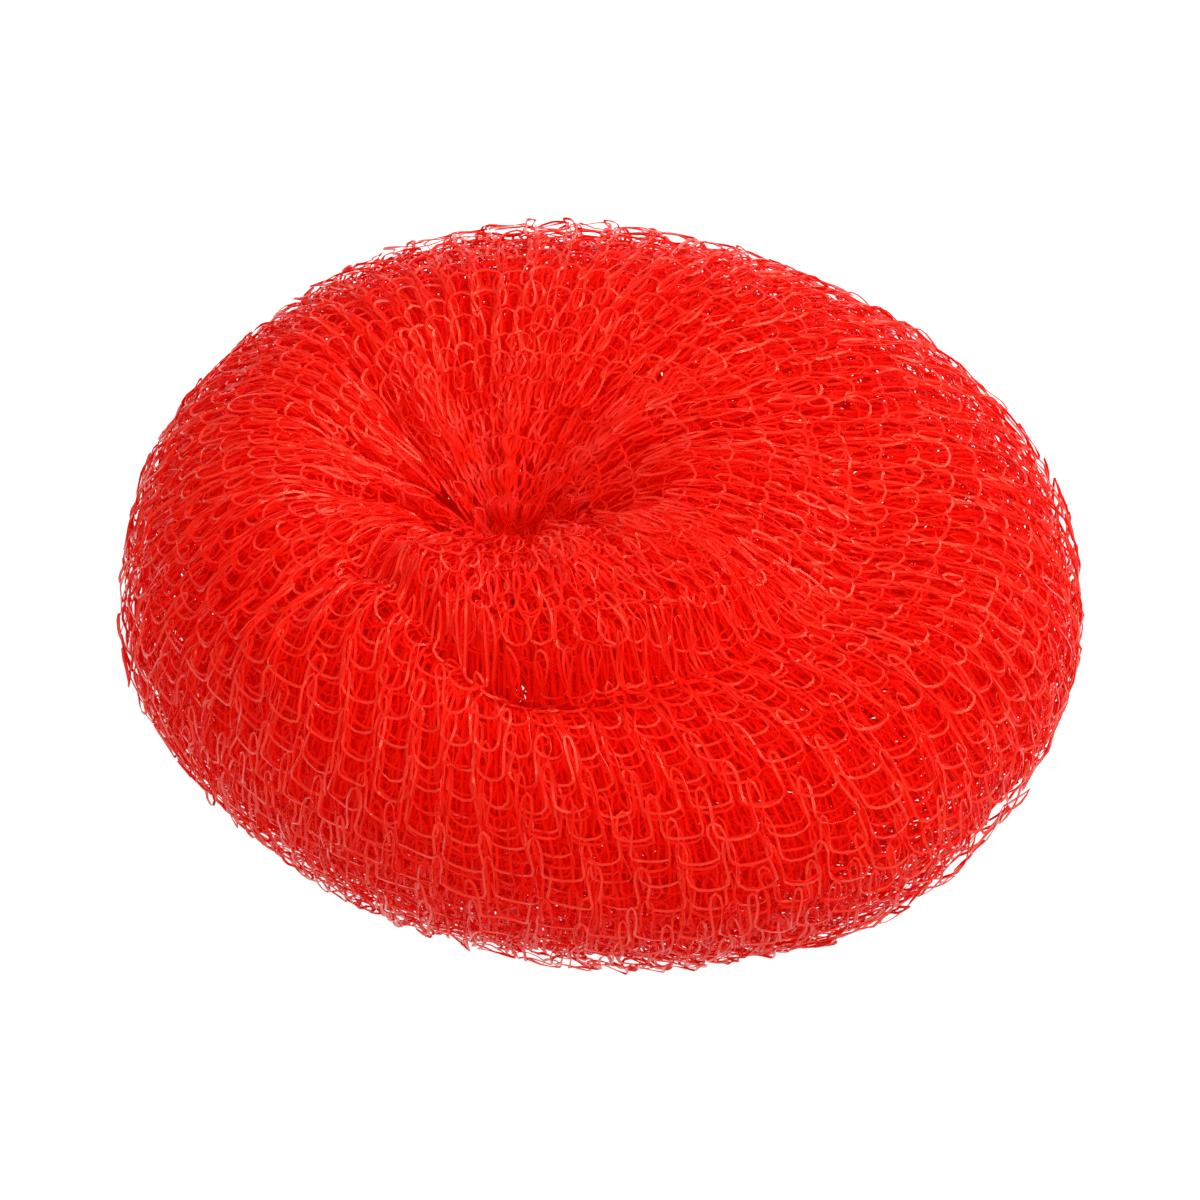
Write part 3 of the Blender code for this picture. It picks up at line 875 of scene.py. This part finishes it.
class SCRUBBER_OT_closing_tie(bpy.types.Operator):
    """Wind the twisted thread round the waist and knot it"""

    bl_idname = "scrubber.closing_tie"
    bl_label = "Closing tie"

    def execute(self, context):
        settings = context.scene.scrubber
        lines = [ply for line in tie_lines(settings.tie)
                 for ply in thread_plies(line, settings.tie)]
        mesh = tube_mesh("closing_tie_thread", lines, settings.tie.radius * 0.5)
        piece = bpy.data.objects.new("closing_tie_thread", mesh)
        context.scene.collection.objects.link(piece)
        mesh.materials.append(thread_finish(settings))
        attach(piece, BODY)
        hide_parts("closing_tie")
        return {"FINISHED"}


class SCRUBBER_OT_stage(bpy.types.Operator):
    """Set the pale floor, the soft lights and the camera"""

    bl_idname = "scrubber.stage"
    bl_label = "Stage"

    def execute(self, context):
        make_floor()
        make_world()
        make_lights()
        make_camera()
        context.scene.view_settings.view_transform = "Standard"
        context.scene.cycles.diffuse_bounces = 10
        context.scene.cycles.max_bounces = 14
        return {"FINISHED"}


# The white floor's half width, its shade and its own light
FLOOR_HALF_WIDTH = 3.0
FLOOR_SHADE = (0.3, 0.3, 0.3, 1.0)
FLOOR_GLOW = 0.93

# Strength of the studio's light from low down and from high up, and where the one has turned
# into the other, as the height of its direction
LOW_LIGHT = 0.56
HIGH_LIGHT = 0.5
LIGHT_TURN = 0.6

# Each lamp's place, size and power
LAMPS = {
    "key": (Vector((0.5, -0.2, 0.75)), 0.8, 3.1),
    "side": (Vector((0.6, 0.35, 0.5)), 0.5, 2.4),
    "sparkle": (Vector((0.35, 0.25, 0.8)), 0.09, 1.0),
    "front": (Vector((0.02, -0.65, 0.5)), 0.2, 1.15),
    "fill": (Vector((-0.5, -0.45, 0.5)), 0.6, 0.4),
}

# The photograph's camera: how far up it stands, how far off, its lens, and where it aims
CAMERA_ELEVATION = math.radians(44.0)
CAMERA_DISTANCE = 0.8
CAMERA_LENS = 240.0
CAMERA_SENSOR = 36.0
CAMERA_AIM = Vector((0.0, 0.0, 19.2 * MM))
CAMERA_LEFT = 0.4 * MM
CAMERA_DOWN = 1.5 * MM


def make_floor():
    """A wide white floor."""
    half = FLOOR_HALF_WIDTH
    corners = [(-half, -half, 0.0), (half, -half, 0.0), (half, half, 0.0), (-half, half, 0.0)]
    mesh = bpy.data.meshes.new("floor")
    mesh.from_pydata(corners, [], [(0, 1, 2, 3)])
    floor = bpy.data.objects.new("floor", mesh)
    bpy.context.scene.collection.objects.link(floor)
    material = bpy.data.materials.new("white_floor")
    material.use_nodes = True
    shader = material.node_tree.nodes["Principled BSDF"]
    shader.inputs["Base Color"].default_value = FLOOR_SHADE
    shader.inputs["Emission Color"].default_value = (1.0, 1.0, 1.0, 1.0)
    shader.inputs["Emission Strength"].default_value = FLOOR_GLOW
    shader.inputs["Roughness"].default_value = 0.9
    shader.inputs["Specular IOR Level"].default_value = 0.0
    mesh.materials.append(material)
    floor.visible_diffuse = False


def make_world():
    """Soft white light from all round, a little stronger from low down, as off a white table."""
    world = bpy.data.worlds.new("studio")
    bpy.context.scene.world = world
    world.use_nodes = True
    tree = world.node_tree
    background = tree.nodes["Background"]
    background.inputs["Color"].default_value = (1.0, 1.0, 1.0, 1.0)
    place = node(tree, "ShaderNodeTexCoord")
    parts = node(tree, "ShaderNodeSeparateXYZ")
    height = node(tree, "ShaderNodeMapRange")
    height.inputs["From Min"].default_value = -LIGHT_TURN
    height.inputs["From Max"].default_value = LIGHT_TURN
    height.inputs["To Min"].default_value = LOW_LIGHT
    height.inputs["To Max"].default_value = HIGH_LIGHT
    tree.links.new(place.outputs["Generated"], parts.inputs["Vector"])
    tree.links.new(parts.outputs["Z"], height.inputs["Value"])
    tree.links.new(height.outputs["Result"], background.inputs["Strength"])


def make_lights():
    """A broad key from the right, a weaker light behind it, two small ones and a weak fill."""
    for name, (place, size, power) in LAMPS.items():
        light = bpy.data.lights.new(name, "AREA")
        light.shape = "DISK"
        light.size = size
        light.energy = power
        lamp = bpy.data.objects.new(name, light)
        lamp.location = place
        lamp.rotation_euler = (-place).to_track_quat("-Z", "Y").to_euler()
        bpy.context.scene.collection.objects.link(lamp)


def make_camera():
    """The photograph's view: from the front, well above the pad, and far off."""
    back = Vector((0.0, -math.cos(CAMERA_ELEVATION), math.sin(CAMERA_ELEVATION)))
    up = Vector((0.0, math.sin(CAMERA_ELEVATION), math.cos(CAMERA_ELEVATION)))
    camera_data = bpy.data.cameras.new("camera")
    camera_data.lens = CAMERA_LENS
    camera_data.sensor_width = CAMERA_SENSOR
    camera = bpy.data.objects.new("camera", camera_data)
    left = Vector((CAMERA_LEFT, 0.0, 0.0))
    camera.location = CAMERA_AIM + back * CAMERA_DISTANCE - up * CAMERA_DOWN - left
    camera.rotation_euler = back.to_track_quat("Z", "Y").to_euler()
    bpy.context.scene.collection.objects.link(camera)
    bpy.context.scene.camera = camera


class SCRUBBER_PT_panel(bpy.types.Panel):
    """Shows the scrubber's settings and the buttons of its steps"""

    bl_idname = "SCRUBBER_PT_panel"
    bl_label = "Mesh Scrubber"
    bl_space_type = "VIEW_3D"
    bl_region_type = "UI"
    bl_category = "Scrubber"

    def draw(self, context):
        settings = context.scene.scrubber
        for group in (settings.yarn, settings.stitch, settings.finish, settings.tie):
            for name in group.__annotations__:
                self.layout.prop(group, name)
        for operator in OPERATORS:
            self.layout.operator(operator.bl_idname)


GROUPS = (YarnSettings, StitchSettings, FinishSettings, TieSettings, ScrubberSettings)
OPERATORS = (SCRUBBER_OT_stage, SCRUBBER_OT_cover, SCRUBBER_OT_throat, SCRUBBER_OT_inner_turns,
             SCRUBBER_OT_rolled_core, SCRUBBER_OT_closing_tie)


def register():
    for group in GROUPS + OPERATORS + (SCRUBBER_PT_panel,):
        bpy.utils.register_class(group)
    bpy.types.Scene.scrubber = bpy.props.PointerProperty(type=ScrubberSettings)


def unregister():
    del bpy.types.Scene.scrubber
    for group in reversed(GROUPS + OPERATORS + (SCRUBBER_PT_panel,)):
        bpy.utils.unregister_class(group)


def main():
    """Run every step in order."""
    register()
    bpy.ops.scrubber.stage()
    bpy.ops.scrubber.cover()
    bpy.ops.scrubber.throat()
    bpy.ops.scrubber.inner_turns()
    bpy.ops.scrubber.rolled_core()
    bpy.ops.scrubber.closing_tie()


if __name__ == "__main__":
    main()
